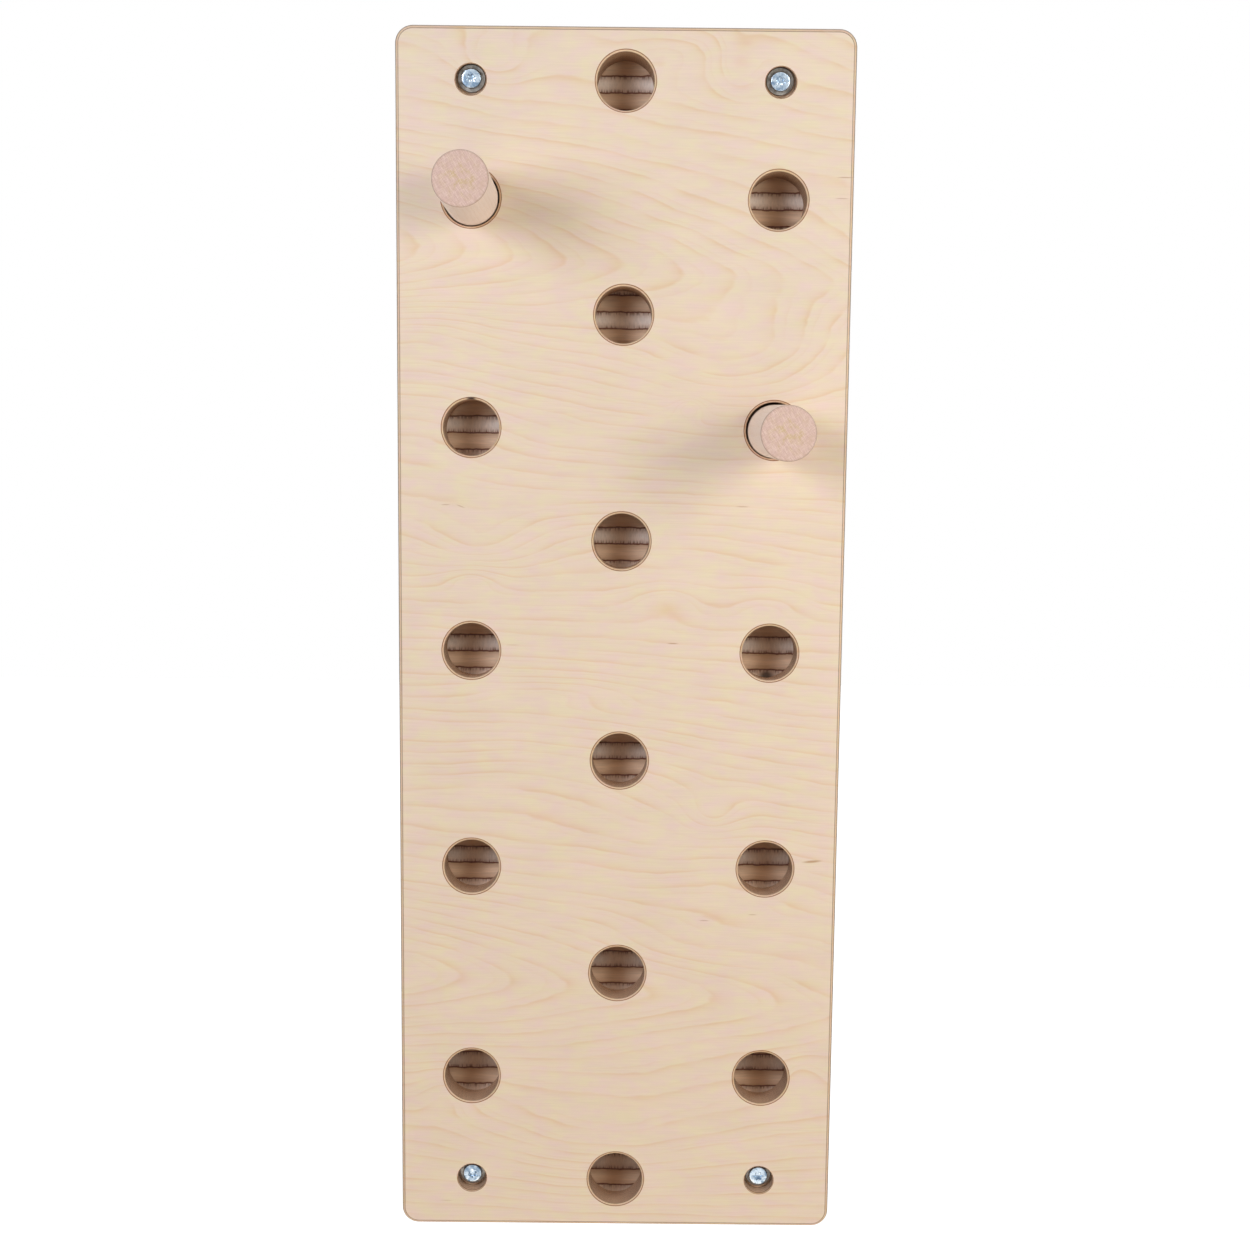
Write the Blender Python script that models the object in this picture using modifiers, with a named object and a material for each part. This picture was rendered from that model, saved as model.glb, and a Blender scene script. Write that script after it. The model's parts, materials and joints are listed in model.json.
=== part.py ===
"""Peg climbing board: a thick birch plywood panel, two loose beech pegs and four wall screws.

Units are metres. +Z runs up the board, the climber hangs on the -Y side, and the origin is the
centre of the back face, which lies against the wall.
"""
import math

import bmesh
import bpy
from mathutils import Matrix, Vector

# Fit
GAP = 0.0003                      # air kept between pieces that touch

# Pegs
PEG_DIA = 0.035
PEG_LENGTH = 0.150
PEG_CHAMFER = 0.0010
PEG_PLAY = 0.0020                 # peg holes are this much wider than the pegs

# Peg holes
ROW_PITCH = 0.150                 # from hole to hole in one column
CENTRE_ROWS = 6
SIDE_ROWS = 5                     # the side columns stand half a pitch lower
COLUMN_PITCH = 0.100              # from the centre column to a side column
HOLE_ANGLE = math.radians(7.7)    # the holes rise this much towards the climber
HOLE_FLOOR = 0.0068               # least wood left behind a hole
MOUTH_ROUND = 0.00165             # rounding of a hole's mouth

# Panel
BOARD_THICK = 0.045
SIDE_MARGIN = 0.0487              # from a side column to the panel's edge
END_MARGIN = 0.0339               # from the first and last row to the panel's ends
CORNER_RADIUS = 0.0115
EDGE_ROUND = 0.0022

# Wall screws, on the side columns' lines, level with the first and last centre hole
SCREW_SHANK_DIA = 0.0060
SCREW_SHANK_LENGTH = 0.080
SCREW_TIP_LENGTH = 0.0075
SCREW_HEAD_DIA = 0.0130
SCREW_HEAD_HEIGHT = 0.0046
SCREW_HEAD_RIM = 0.0013           # upright edge of the head below its dome
SCREW_RECESS_LOBES = 6
SCREW_RECESS_RADIUS = 0.0027      # middle radius of the lobed drive recess
SCREW_RECESS_WAVE = 0.0004        # how far the lobes stand out from that radius
SCREW_RECESS_DEPTH = 0.0026
SCREW_HOLE_PLAY = 0.0020          # the screw holes are this much wider than the shanks
WASHER_DIA = 0.0180
WASHER_THICK = 0.0016
WASHER_PLAY = 0.0010              # the washer's bore over the screw's shank
COUNTERBORE_PLAY = 0.0020         # the counterbores are this much wider than the washers
COUNTERBORE_DEPTH = 0.0120
COUNTERBORE_EDGE = 0.0005         # chamfer on a counterbore's rim

# Cutting and mesh fineness
OVERCUT = 0.002                   # how far the cutters stand out of the panel
MERGE_DISTANCE = 0.00001          # mesh points closer than this are one point
HOLE_STEPS = 32
PEG_STEPS = 40
SCREW_STEPS = 20
WASHER_STEPS = 32
CORNER_STEPS = 6
ROUND_STEPS = 3
HEAD_STEPS = 5
LOBE_STEPS = 4                    # for each lobe of the drive recess
SMOOTH_ANGLE = math.radians(35)

# Sizes that follow from the ones above
HOLE_RADIUS = (PEG_DIA + PEG_PLAY) / 2
HOLE_DEPTH = (BOARD_THICK - HOLE_FLOOR - HOLE_RADIUS * math.sin(HOLE_ANGLE)) / math.cos(HOLE_ANGLE)
BOARD_WIDTH = 2 * (COLUMN_PITCH + SIDE_MARGIN)
BOARD_HEIGHT = (CENTRE_ROWS - 1) * ROW_PITCH + 2 * END_MARGIN
TOP_ROW_Z = BOARD_HEIGHT / 2 - END_MARGIN
BOTTOM_ROW_Z = -TOP_ROW_Z
SCREW_HOLE_RADIUS = (SCREW_SHANK_DIA + SCREW_HOLE_PLAY) / 2
COUNTERBORE_RADIUS = (WASHER_DIA + COUNTERBORE_PLAY) / 2
# The panel's weight hangs it down on the screws, so they sit high in their holes.
SCREW_LIFT = min(SCREW_HOLE_PLAY, COUNTERBORE_PLAY) / 2 - GAP
HOLE_AXIS = Vector((0, -math.cos(HOLE_ANGLE), math.sin(HOLE_ANGLE)))
# A peg's play lets it lean this far off its hole's axis before it touches the wall.
FULL_LEAN = math.atan((PEG_PLAY / 2 - GAP) / (HOLE_DEPTH / 2))

# Which hole each peg stands in: column, rows below the first centre hole, how much of the full
# lean it takes, and which way it leans, counted from straight down towards +X.
PEG_SEATS = {
    "peg_left": (-1, 0.5, 0.31, math.radians(0)),
    "peg_right": (1, 1.5, 1.0, math.radians(28)),
}


def clear_scene():
    for obj in list(bpy.data.objects):
        bpy.data.objects.remove(obj, do_unlink=True)
    for mesh in list(bpy.data.meshes):
        bpy.data.meshes.remove(mesh)


def new_collection(name):
    collection = bpy.data.collections.new(name)
    bpy.context.scene.collection.children.link(collection)
    return collection


def material(name, colour, roughness, metallic=0.0):
    mat = bpy.data.materials.new(name)
    mat.use_nodes = True
    shader = mat.node_tree.nodes["Principled BSDF"]
    shader.inputs["Base Color"].default_value = (*colour, 1.0)
    shader.inputs["Roughness"].default_value = roughness
    shader.inputs["Metallic"].default_value = metallic
    return mat


def add_object(name, mesh, collection, mat=None):
    obj = bpy.data.objects.new(name, mesh)
    collection.objects.link(obj)
    if mat is not None:
        mesh.materials.clear()
        mesh.materials.append(mat)
    return obj


def shade_round(mesh):
    mesh.shade_smooth()
    mesh.set_sharp_from_angle(angle=SMOOTH_ANGLE)


def profile_mesh(name, profile, closed=False):
    """An open or closed polyline in the XZ plane, given as (radius, height) pairs."""
    mesh = bpy.data.meshes.new(name)
    edges = [(i, i + 1) for i in range(len(profile) - 1)]
    if closed:
        edges.append((len(profile) - 1, 0))
    mesh.from_pydata([(r, 0, z) for r, z in profile], edges, [])
    return mesh


def turned(name, profile, steps, collection, closed=False):
    """A solid turned about its own Z axis, as a plain mesh object."""
    source = add_object(name + "_profile", profile_mesh(name + "_profile", profile, closed), collection)
    screw = source.modifiers.new("turn", "SCREW")
    screw.axis = "Z"
    screw.angle = math.tau
    screw.steps = steps
    screw.render_steps = steps
    screw.use_merge_vertices = True
    screw.merge_threshold = MERGE_DISTANCE
    depsgraph = bpy.context.evaluated_depsgraph_get()
    mesh = bpy.data.meshes.new_from_object(source.evaluated_get(depsgraph))
    mesh.name = name
    bpy.data.objects.remove(source, do_unlink=True)
    shade_round(mesh)
    return add_object(name, mesh, collection)


def cut(target, cutters, name):
    modifier = target.modifiers.new(name, "BOOLEAN")
    modifier.operation = "DIFFERENCE"
    modifier.solver = "EXACT"
    modifier.operand_type = "COLLECTION"
    modifier.collection = cutters


def hide_cutters(cutters):
    for obj in cutters.objects:
        obj.hide_render = True
        obj.display_type = "WIRE"


def column_x(column):
    return column * COLUMN_PITCH


def row_z(rows_down):
    return TOP_ROW_Z - rows_down * ROW_PITCH


def hole_places():
    """Column and rows below the first centre hole, for every peg hole."""
    places = [(0, row) for row in range(CENTRE_ROWS)]
    for column in (-1, 1):
        places += [(column, row + 0.5) for row in range(SIDE_ROWS)]
    return places


def hole_cutter_mesh(collection):
    """A slanting hole with a rounded mouth, whose mouth's centre is the mesh's origin.

    It is turned straight about Z, with the panel's face at height 0. Its far end is then set
    square to the slanting axis, and the rest is sheared along that axis.
    """
    depth = HOLE_DEPTH * math.cos(HOLE_ANGLE)
    profile = [(0, OVERCUT), (HOLE_RADIUS + MOUTH_ROUND, OVERCUT)]
    for step in range(ROUND_STEPS + 1):
        turn = math.pi / 2 * (1 - step / ROUND_STEPS)
        profile.append((HOLE_RADIUS + MOUTH_ROUND * (1 - math.cos(turn)),
                        MOUTH_ROUND * (math.sin(turn) - 1)))
    profile += [(HOLE_RADIUS, -depth), (0, -depth)]
    cutter = turned("peg_hole_cutter", profile, HOLE_STEPS, collection)
    mesh = cutter.data
    for vertex in mesh.vertices:
        x, y, z = vertex.co
        at_far_end = z < -depth + GAP
        place = Vector((x, -z, y / math.cos(HOLE_ANGLE) + z * math.tan(HOLE_ANGLE)))
        if at_far_end:
            place -= HOLE_AXIS * y * math.tan(HOLE_ANGLE)
        vertex.co = place
    bpy.data.objects.remove(cutter, do_unlink=True)
    return mesh


def screw_hole_cutter_mesh(collection):
    """A counterbore with a chamfered rim, and the screw's hole through the rest of the panel."""
    rim = COUNTERBORE_RADIUS + COUNTERBORE_EDGE
    profile = [
        (0, OVERCUT),
        (rim + OVERCUT, OVERCUT),
        (COUNTERBORE_RADIUS, -COUNTERBORE_EDGE),
        (COUNTERBORE_RADIUS, -COUNTERBORE_DEPTH),
        (SCREW_HOLE_RADIUS, -COUNTERBORE_DEPTH),
        (SCREW_HOLE_RADIUS, -BOARD_THICK - OVERCUT),
        (0, -BOARD_THICK - OVERCUT),
    ]
    cutter = turned("screw_hole_cutter", profile, HOLE_STEPS, collection)
    mesh = cutter.data
    mesh.transform(Matrix.Rotation(math.radians(90), 4, "X"))
    bpy.data.objects.remove(cutter, do_unlink=True)
    return mesh


def screw_places():
    """Name suffix and place of each wall screw's hole on the panel's front."""
    places = {}
    for level, z in (("top", TOP_ROW_Z), ("bottom", BOTTOM_ROW_Z)):
        for side, column in (("left", -1), ("right", 1)):
            places[f"{level}_{side}"] = Vector((column_x(column), -BOARD_THICK, z))
    return places


def make_board(collection, cutters, mat):
    """The panel: rounded corners, rounded front and back edges, and every hole cut in it."""
    bm = bmesh.new()
    size = Matrix.Diagonal((BOARD_WIDTH, BOARD_THICK, BOARD_HEIGHT, 1))
    place = Matrix.Translation((0, -BOARD_THICK / 2, 0))
    bmesh.ops.create_cube(bm, size=1, matrix=place @ size)
    corners = [e for e in bm.edges if abs(e.verts[0].co.y - e.verts[1].co.y) > BOARD_THICK / 2]
    bmesh.ops.bevel(bm, geom=corners, offset=CORNER_RADIUS, offset_type="OFFSET",
                    segments=CORNER_STEPS, profile=0.5, affect="EDGES")
    outline = [e for e in bm.edges if abs(e.verts[0].co.y - e.verts[1].co.y) < GAP]
    bmesh.ops.bevel(bm, geom=outline, offset=EDGE_ROUND, offset_type="OFFSET",
                    segments=ROUND_STEPS, profile=0.5, affect="EDGES")
    mesh = bpy.data.meshes.new("board")
    bm.to_mesh(mesh)
    bm.free()
    shade_round(mesh)
    board = add_object("board", mesh, collection, mat)

    hole = hole_cutter_mesh(cutters)
    for column, row in hole_places():
        cutter = add_object("peg_hole_cutter", hole, cutters)
        cutter.location = (column_x(column), -BOARD_THICK, row_z(row))
    screw_hole = screw_hole_cutter_mesh(cutters)
    for place in screw_places().values():
        add_object("screw_hole_cutter", screw_hole, cutters).location = place
    hide_cutters(cutters)
    cut(board, cutters, "holes")


def peg_axis(lean_share, lean_turn):
    """The way a peg points: its hole's axis, leant down and sideways by its play."""
    lean = FULL_LEAN * lean_share
    down = Vector((0, -math.sin(HOLE_ANGLE), -math.cos(HOLE_ANGLE)))
    sideways = Vector((1, 0, 0))
    leant = down * math.cos(lean_turn) + sideways * math.sin(lean_turn)
    return HOLE_AXIS * math.cos(lean) + leant * math.sin(lean)


def make_peg(name, seat, collection, mat):
    """A chamfered dowel. Its origin is its inner end and its local Z is its sliding axis."""
    column, row, lean_share, lean_turn = seat
    radius = PEG_DIA / 2
    profile = [
        (0, PEG_LENGTH),
        (radius - PEG_CHAMFER, PEG_LENGTH),
        (radius, PEG_LENGTH - PEG_CHAMFER),
        (radius, PEG_CHAMFER),
        (radius - PEG_CHAMFER, 0),
        (0, 0),
    ]
    peg = turned(name, profile, PEG_STEPS, collection)
    peg.data.materials.append(mat)
    mouth = Vector((column_x(column), -BOARD_THICK, row_z(row)))
    middle = mouth - HOLE_AXIS * (HOLE_DEPTH / 2)
    axis = peg_axis(lean_share, lean_turn)
    end_gap = GAP + (radius - PEG_CHAMFER) * math.sin(FULL_LEAN * lean_share)
    peg.rotation_mode = "QUATERNION"
    peg.rotation_quaternion = axis.to_track_quat("Z", "Y")
    peg.location = middle - axis * (HOLE_DEPTH / 2 - end_gap)


def recess_mesh(collection):
    """The lobed drive recess, standing from its floor to above the screw's head."""
    curve = bpy.data.curves.new("drive_recess_outline", "CURVE")
    curve.dimensions = "2D"
    curve.fill_mode = "BOTH"
    curve.extrude = (SCREW_RECESS_DEPTH + OVERCUT) / 2
    spline = curve.splines.new("POLY")
    points = LOBE_STEPS * SCREW_RECESS_LOBES
    spline.points.add(points - 1)
    spline.use_cyclic_u = True
    for i, point in enumerate(spline.points):
        turn = math.tau * i / points
        radius = SCREW_RECESS_RADIUS + SCREW_RECESS_WAVE * math.cos(SCREW_RECESS_LOBES * turn)
        point.co = (radius * math.cos(turn), radius * math.sin(turn), 0, 1)
    outline = add_object("drive_recess_outline", curve, collection)
    depsgraph = bpy.context.evaluated_depsgraph_get()
    mesh = bpy.data.meshes.new_from_object(outline.evaluated_get(depsgraph))
    bpy.data.objects.remove(outline, do_unlink=True)
    bm = bmesh.new()
    bm.from_mesh(mesh)
    bmesh.ops.remove_doubles(bm, verts=bm.verts, dist=MERGE_DISTANCE)
    bm.to_mesh(mesh)
    bm.free()
    floor = SCREW_HEAD_HEIGHT - SCREW_RECESS_DEPTH
    mesh.transform(Matrix.Translation((0, 0, floor + (SCREW_RECESS_DEPTH + OVERCUT) / 2)))
    return mesh


def make_screw(suffix, hole_place, collection, cutters, recess, mat):
    """A pan-head wood screw. Its origin is the middle of the head's underside."""
    head_radius = SCREW_HEAD_DIA / 2
    shank_radius = SCREW_SHANK_DIA / 2
    profile = [(0, SCREW_HEAD_HEIGHT)]
    for step in range(1, HEAD_STEPS + 1):
        turn = math.pi / 2 * (1 - step / HEAD_STEPS)
        profile.append((head_radius * math.cos(turn),
                        SCREW_HEAD_RIM + (SCREW_HEAD_HEIGHT - SCREW_HEAD_RIM) * math.sin(turn)))
    profile += [
        (head_radius, 0),
        (shank_radius, 0),
        (shank_radius, SCREW_TIP_LENGTH - SCREW_SHANK_LENGTH),
        (0, -SCREW_SHANK_LENGTH),
    ]
    screw = turned("screw_" + suffix, profile, SCREW_STEPS, collection)
    screw.data.materials.append(mat)
    head_seat = COUNTERBORE_DEPTH - WASHER_THICK - 2 * GAP
    screw.location = hole_place + Vector((0, head_seat, SCREW_LIFT))
    screw.rotation_euler = (math.radians(90), 0, 0)
    recess_cutters = bpy.data.collections.new("recess_cutter_" + suffix)
    cutters.children.link(recess_cutters)
    cutter = add_object("drive_recess_" + suffix, recess, recess_cutters)
    cutter.location = screw.location
    cutter.rotation_euler = screw.rotation_euler
    hide_cutters(recess_cutters)
    cut(screw, recess_cutters, "drive_recess")


def make_washer(suffix, hole_place, collection, mat):
    """A flat washer. Its origin is the middle of its underside."""
    bore_radius = (SCREW_SHANK_DIA + WASHER_PLAY) / 2
    rim_radius = WASHER_DIA / 2
    profile = [(rim_radius, WASHER_THICK), (rim_radius, 0), (bore_radius, 0), (bore_radius, WASHER_THICK)]
    washer = turned("washer_" + suffix, profile, WASHER_STEPS, collection, closed=True)
    washer.data.materials.append(mat)
    washer.location = hole_place + Vector((0, COUNTERBORE_DEPTH - GAP, SCREW_LIFT))
    washer.rotation_euler = (math.radians(90), 0, 0)


def main():
    clear_scene()
    parts = new_collection("peg_climbing_board")
    board_cutters = new_collection("board_cutters")
    screw_cutters = new_collection("screw_cutters")
    birch = material("birch_plywood", (0.80, 0.65, 0.44), 0.45)
    beech = material("beech_dowel", (0.72, 0.53, 0.38), 0.55)
    zinc = material("zinc_plated_steel", (0.62, 0.66, 0.70), 0.30, 1.0)

    make_board(parts, board_cutters, birch)
    for name, seat in PEG_SEATS.items():
        make_peg(name, seat, parts, beech)
    recess = recess_mesh(screw_cutters)
    for suffix, place in screw_places().items():
        make_screw(suffix, place, parts, screw_cutters, recess, zinc)
        make_washer(suffix, place, parts, zinc)


main()
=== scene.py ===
"""Looks of the peg climbing board: lacquered birch plywood, raw beech pegs and zinc-plated screws.

Meshes are in metres and the materials' patterns in millimetres. +Z runs up the board, the climber is
on the -Y side, and the board's back lies in the plane y = 0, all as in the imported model.
"""
import json
import math

import bmesh
import bpy
from mathutils import Euler, Matrix, Vector


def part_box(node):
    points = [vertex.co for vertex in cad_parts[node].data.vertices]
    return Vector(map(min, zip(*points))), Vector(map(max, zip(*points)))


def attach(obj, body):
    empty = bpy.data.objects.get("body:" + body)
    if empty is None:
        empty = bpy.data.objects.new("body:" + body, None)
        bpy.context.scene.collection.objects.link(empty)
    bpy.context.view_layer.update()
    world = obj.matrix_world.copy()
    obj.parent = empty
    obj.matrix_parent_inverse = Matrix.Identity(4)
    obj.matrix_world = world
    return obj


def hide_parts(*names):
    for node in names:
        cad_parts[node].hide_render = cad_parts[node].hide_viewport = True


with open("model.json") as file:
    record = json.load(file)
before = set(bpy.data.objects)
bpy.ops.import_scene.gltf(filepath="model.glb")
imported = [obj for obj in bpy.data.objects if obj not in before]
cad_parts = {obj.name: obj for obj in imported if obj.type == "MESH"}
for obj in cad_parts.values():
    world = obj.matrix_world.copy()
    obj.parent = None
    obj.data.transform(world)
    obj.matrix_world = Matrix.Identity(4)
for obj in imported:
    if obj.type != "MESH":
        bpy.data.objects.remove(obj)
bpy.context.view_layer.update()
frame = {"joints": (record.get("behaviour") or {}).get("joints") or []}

MM = 0.001

# Peg holes, from the model's own sizes
ROW_PITCH = 0.150
COLUMN_PITCH = 0.100
CENTRE_ROWS = 6
SIDE_ROWS = 5
HOLE_RADIUS = 0.0185
HOLE_ANGLE = math.radians(7.7)
HOLE_FLOOR = 0.0068
MOUTH_ROUND = 0.00165

# Panel and screw holes
CORNER_RADIUS = 0.0115
EDGE_ROUND = 0.0022
COUNTERBORE_RADIUS = 0.010
COUNTERBORE_DEPTH = 0.012
COUNTERBORE_EDGE = 0.0005
SCREW_HOLE_RADIUS = 0.004

# Pegs
PEG_RADIUS = 0.0175
PEG_LENGTH = 0.150
PEG_EDGE = 0.0010

# Screws and washers. Heights count from the underside of a screw's head.
HEAD_RADIUS = 0.0065
HEAD_HEIGHT = 0.00466
HEAD_RIM = 0.0040
HEAD_EDGE = 0.0002
PAN_FULLNESS = 10.0
RECESS_LOBES = 6
RECESS_RADIUS = 0.0027
RECESS_WAVE = 0.0006
RECESS_DEPTH = 0.0026
RECESS_CONE = 0.0005
SHANK_RADIUS = 0.00215
CORE_RADIUS = 0.0019
RIDGE_HEIGHT = 0.0011
RIDGE_NARROWING = 0.65
THREAD_PITCH = 0.0026
THREAD_LENGTH = 0.050
THREAD_START = 0.0004
SCREW_LENGTH = 0.0797
POINT_LENGTH = 0.0075
# Share of the thread's size that is left at the point
POINT_BLUNTNESS = 0.12
# How far the recess draws in, and its lobes fade, down to its floor
RECESS_TAPER = 0.86
RECESS_FADE = 0.8
# The recess's lip: shares of its radius, and depths under the brink
RECESS_LIP = ((0.97, 0.00015), (1.03, 0.00002))
# Rings of the pan head, as shares of its radius
HEAD_RINGS = (0.50, 0.56, 0.62, 0.68, 0.74, 0.80, 0.85, 0.89, 0.925, 0.955, 0.98, 0.995, 1.0)
# How far each screw was turned when it was driven in, in degrees
SCREW_TURNS = {"top_left": 12, "top_right": 41, "bottom_left": 28, "bottom_right": 5}
WASHER_RADIUS = 0.009
WASHER_BORE = 0.0035
WASHER_THICKNESS = 0.0016
WASHER_ROUND = 0.0004
WASHER_EDGE = 0.00012

# Mesh fineness
HOLE_STEPS = 112
SCREW_HOLE_STEPS = 72
PEG_STEPS = 144
SCREW_STEPS = 96
THREAD_STEPS = 40
WASHER_STEPS = 96
CORNER_STEPS = 20
ROUND_STEPS = 8
COUNTERBORE_EDGE_STEPS = 4
HEAD_EDGE_STEPS = 3
WASHER_ROUND_STEPS = 5
WASHER_EDGE_STEPS = 2
OVERCUT = 0.002
SMOOTH_ANGLE = math.radians(30)

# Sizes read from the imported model
board_low, board_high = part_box("board")
FRONT = board_low.y
THICKNESS = board_high.y - board_low.y
WIDTH = board_high.x - board_low.x
HEIGHT = board_high.z - board_low.z
TOP_ROW = (CENTRE_ROWS - 1) / 2 * ROW_PITCH
HOLE_REACH = THICKNESS - HOLE_FLOOR - HOLE_RADIUS * math.sin(HOLE_ANGLE)
HOLE_AXIS = Vector((0, -math.cos(HOLE_ANGLE), math.sin(HOLE_ANGLE)))

# Plywood, in millimetres
FACE_PLY = 0.9
PLY = 1.5
SHEET_JOINT = 24.9
PLY_UNEVEN = 0.30
# Where the plies lie nearer to the front, round one hole: middle and half size, and by how much
RAISED_PLIES = ((0, -7, 225), (80, 80, 80))
RAISED_BY = 0.6
GLUE_LINE = 0.11
GLUE_CORE = 0.25
GLUE_TEETH = 0.38
GLUE_SOAK = 0.6
PLY_NUMBER_SHIFT = 37.0

# Face veneer's rings, in millimetres and rings
GRAIN_TILT = 0.07
RING_SPACING = 9.5
LOOP_ROUND = 14.0
LEAN_REACH = 90.0
LOOP_BLEND = (-60.0, 90.0)
LATE_WOOD = 5.5
LINE_END = 0.88
# Each set of lines: lines to a ring, shift in rings, strength
LINE_SETS = ((1.0, 0.0, 1.0), (2.0, 0.37, 0.3))
# Each loop: height of its middle, rings there, rings' way outwards, lean near it and lean far off
LOOPS = ((257.8, 0.0, 1, 0.031, 0.006), (-236.2, 52.25, -1, -0.022, -0.004))
# Each swell: middle across and up, half width, half height, rings added
SWELLS = (
    (78, 198, 62, 36, -3.0), (44, 164, 9, 7, 3.0), (-135, 215, 60, 22, 2.6), (0, 432, 300, 60, -4.6),
    (-85, 388, 26, 20, 1.6), (30, 392, 30, 16, -1.1), (72, 385, 14, 20, 1.2), (-90, 72, 40, 20, -2.2),
    (-100, 50, 20, 9, 1.6), (20, 74, 110, 30, 1.6), (30, 36, 26, 14, 1.3), (100, 34, 30, 16, 1.2),
    (-45, -28, 60, 9, 1.5), (62, -112, 20, 16, -1.8), (-50, -86, 110, 36, 2.4), (95, -150, 50, 30, 1.0),
    (-150, 158, 90, 48, 3.2), (40, -205, 60, 22, -1.0), (0, -347, 100, 38, 3.2), (-118, -312, 18, 18, -1.4),
    (128, -300, 18, 16, -1.2),
)
# Each fleck: middle across and up, length, width, turn in degrees, strength
FLECKS = (
    (-117, 98.5, 8, 1.0, 0, 0.5), (-107, 97.5, 8, 1.0, 20, 0.5), (80, 99, 12, 1.1, 0, 0.45),
    (35, 6, 10, 1.3, 0, 0.6), (-72, 4, 12, 0.7, 0, 0.35), (132, -144.5, 17, 2.6, -5, 0.7),
    (59, -187, 9, 1.1, 0, 0.5), (92, -182.5, 8, 1.0, 0, 0.45), (143, 315, 14, 1.2, 0, 0.6),
    (141, 301.5, 12, 1.0, 0, 0.5), (-118, -392, 12, 0.7, 0, 0.4),
)
# Each scorch: middle, half size, strength
SCORCHES = (((100, -12, -22), (6, 9, 4), 0.8), ((-100, -44, 169.3), (4.6, 3, 2.6), 1.0))

# Beech, in millimetres
PITH = (34, 21)
BEECH_RING = 2.4

# Sizes of the clouds and streaks in each pattern, along x, y and z in millimetres. None is endlessly long.
RING_WANDER = (((95, None, 34), 1.0), ((15, None, 6), 0.2))
LINE_PATCH = (70, None, 12)
TINT_PATCH = (16, None, 9)
FACE_CLOUD = (45, None, 18)
FACE_FIBRE = (26, None, 0.9)
PLY_LUMP = (8, 8, 8)
PLY_CLOUD = (24, 2, 6)
PLY_FIBRE = (14, 0.6, 1.1)
GLUE_TOOTH = (1.1, None, 12)
BEECH_WANDER = (9, 9, 70)
BEECH_FIBRE = (0.7, 0.7, 22)
BEECH_RAY_SPOT = (0.5, 0.5, 2.0)
BEECH_PATCH = (5, 5, None)
BEECH_PORE = (0.6, 0.6, None)
SCRATCH = (6, 0.6, None)
ZINC_CLOUD = (2.4, 2.4, 2.4)
ZINC_PIT = (0.8, 0.8, 0.8)

# How strongly the clouds and fibres lighten and darken the woods
FACE_CLOUD_SHADE = 0.08
FACE_FIBRE_SHADE = 0.13
PLY_CLOUD_SHADE = 0.18
PLY_FIBRE_SHADE = 0.52
BEECH_FIBRE_SHADE = 0.12

# Sanding scratches on the dowels' ends: turn in degrees and strength
SCRATCHES = ((58, 0.5), (-35, 0.35))

# Brown lines round a mouth and along the panel's rounded edges: depths they lie between in millimetres,
# colour and strength
MOUTH_LINES = ((0.0, 0.15, "8A5630", 1.0), (1.35, 2.3, "84552F", 0.9))
EDGE_LINES = ((0.0, 0.09, "967E6C", 0.9), (0.6, 2.2, "847264", 0.85))
# Shares of a line's width, off its middle, up to which it is full and from which it is gone
LINE_FALL = (0.3, 0.6)
# Where the outermost veneer gives way to the next one
SKIN_BLEND = 0.05
# Share of a spot's size up to which it is full
SPOT_CORE = 0.25

# Painted shade on a hole's floor: a darker band down its middle, where the lamps' light falls least. Its
# half width and where it has faded out, in millimetres, and how near to the front it starts, as a share of
# the panel's thickness
SHADED_FLOOR_BAND = (1.0, 15.0)
SHADED_FLOOR_BAND_FROM = 0.7

# Colours of the woods
VENEER_YELLOW = "EADBBC"
VENEER_PINK = "EBD3C6"
VENEER_LINE = "E1BC8E"
VENEER_FLECK = "B07E4C"
PLY_LEVEL = "F5D9BB"
PLY_UPRIGHT = "FDF0E3"
PLY_END = "DAC2A8"
GLUE_BROWN = "6A3820"
GLUE_HALO = "B4865E"
SANDED_TONE = "FAF0E4"
SAWN_TONE = "F6E8D6"
MOUTH_TONE = "FFF6E8"
FLOOR_TONE = "FFFFFF"
# Painted shade: the darker tone of the band down a hole floor's middle
SHADED_FLOOR_MIDDLE_TONE = "E4D6C8"
# Painted shade on the holes' walls that face sideways and down, and painted light on the lower walls, which
# face up
SHADED_WALL_TONE = "C0AE9E"
LIT_LOWER_WALL_TONE = "FFF6F0"
SCORCH_BROWN = "3A2418"
BEECH_SIDE = "EEDBCE"
BEECH_LINE = "E6CCB4"
BEECH_RAY = "A87A5C"
BEECH_END = "D6B6AA"
BEECH_END_TAN = "D0B48C"
BEECH_SCRATCH = "ECD6CA"
BEECH_EDGE = "8E6A4E"

# Zinc: tone, cloudy tone and roughness, and how far the roughness wanders. The bright zinc's darker blue
# cloudy tone is painted reflection of dark surroundings.
BRIGHT_ZINC = ("C4D2DE", "768CA2", 0.24)
DULL_ZINC = ("A5A19B", "88847D", 0.45)
ZINC_SPREAD = (-0.05, 0.1)

# Kinds of node used all over
MATH = "ShaderNodeMath"
VECTOR_MATH = "ShaderNodeVectorMath"
MAP_RANGE = "ShaderNodeMapRange"
MIX = "ShaderNodeMix"
MAPPING = "ShaderNodeMapping"
NOISE = "ShaderNodeTexNoise"
SPLIT = "ShaderNodeSeparateXYZ"
JOIN = "ShaderNodeCombineXYZ"
GROUP = "ShaderNodeGroup"
BUMP = "ShaderNodeBump"
# Ways of a Map Range: it falls from 1 to 0, or rises and falls softly
FALLING = {"To Min": 1.0, "To Max": 0.0}
SMOOTH = {"interpolation_type": "SMOOTHSTEP"}

# Camera, solved from the photograph's 1250 x 1250 frame
PHOTO_SIZE = 1250
FOCAL_PIXELS = 2570
SENSOR_MM = 36
CAMERA_PLACE = Vector((-0.00096, -1.73663, 0.33590))
CAMERA_TURN = Euler((math.radians(79.368), math.radians(-0.562), math.radians(-0.025)))

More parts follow.
